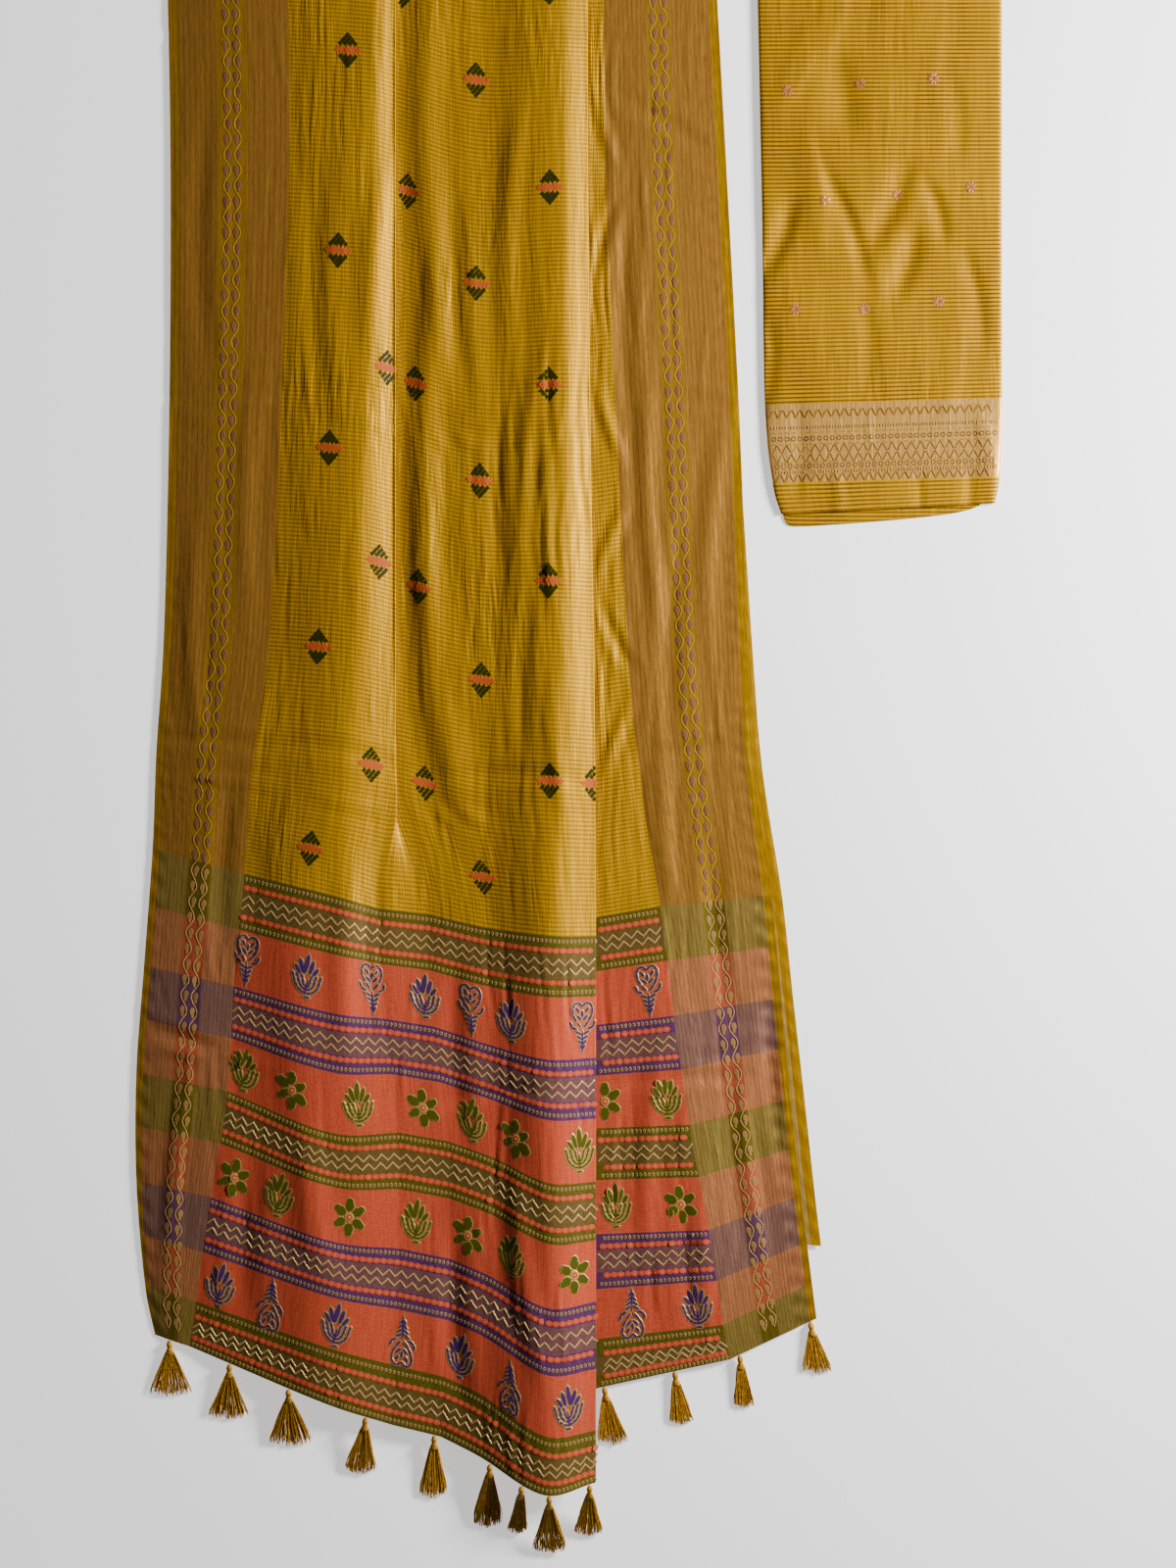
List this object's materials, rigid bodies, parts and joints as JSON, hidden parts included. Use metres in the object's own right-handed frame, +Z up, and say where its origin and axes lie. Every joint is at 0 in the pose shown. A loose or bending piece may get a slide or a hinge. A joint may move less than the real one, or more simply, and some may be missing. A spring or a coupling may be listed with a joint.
{
  "type": "saree",
  "caption": "Tissue silk saree laid flat and folded, with woven zari borders, a striped pallu with knotted tassels, and its folded blouse piece beside it.",
  "frame": {"origin": "middle of the plan, on the surface that the saree lies on", "axes": "+Z up from the surface, +Y along the warp towards the top fold, +X across the cloth towards the blouse piece"},
  "size_m": [1.1228, 2.1426, 0.0415],
  "materials": {
    "gold_tissue": "satin",
    "zari_border": "satin",
    "pallu_weave": "satin",
    "pallu_border_weave": "satin",
    "tassel_silk": "satin",
    "blouse_tissue": "satin",
    "blouse_zari": "satin"
  },
  "bodies": {
    "root": {"field_left": "gold_tissue", "field_middle": "gold_tissue", "field_right": "gold_tissue", "under_layers": "gold_tissue", "border_left": "zari_border", "border_right": "zari_border", "second_layer_edge": "zari_border", "pallu_field_left": "pallu_weave", "pallu_field_middle": "pallu_weave", "pallu_field_right": "pallu_weave", "pallu_border_left": "pallu_border_weave", "pallu_border_right": "pallu_border_weave", "tassel_01": "tassel_silk", "tassel_02": "tassel_silk", "tassel_03": "tassel_silk", "tassel_04": "tassel_silk", "tassel_05": "tassel_silk", "tassel_06": "tassel_silk", "tassel_07": "tassel_silk", "tassel_08": "tassel_silk", "tassel_09": "tassel_silk", "tassel_10": "tassel_silk", "tassel_11": "tassel_silk", "tassel_12": "tassel_silk", "tassel_13": "tassel_silk", "blouse_field": "blouse_tissue", "blouse_band": "blouse_tissue", "blouse_inner_folds": "blouse_tissue", "blouse_border": "blouse_zari"}
  },
  "joints": []
}
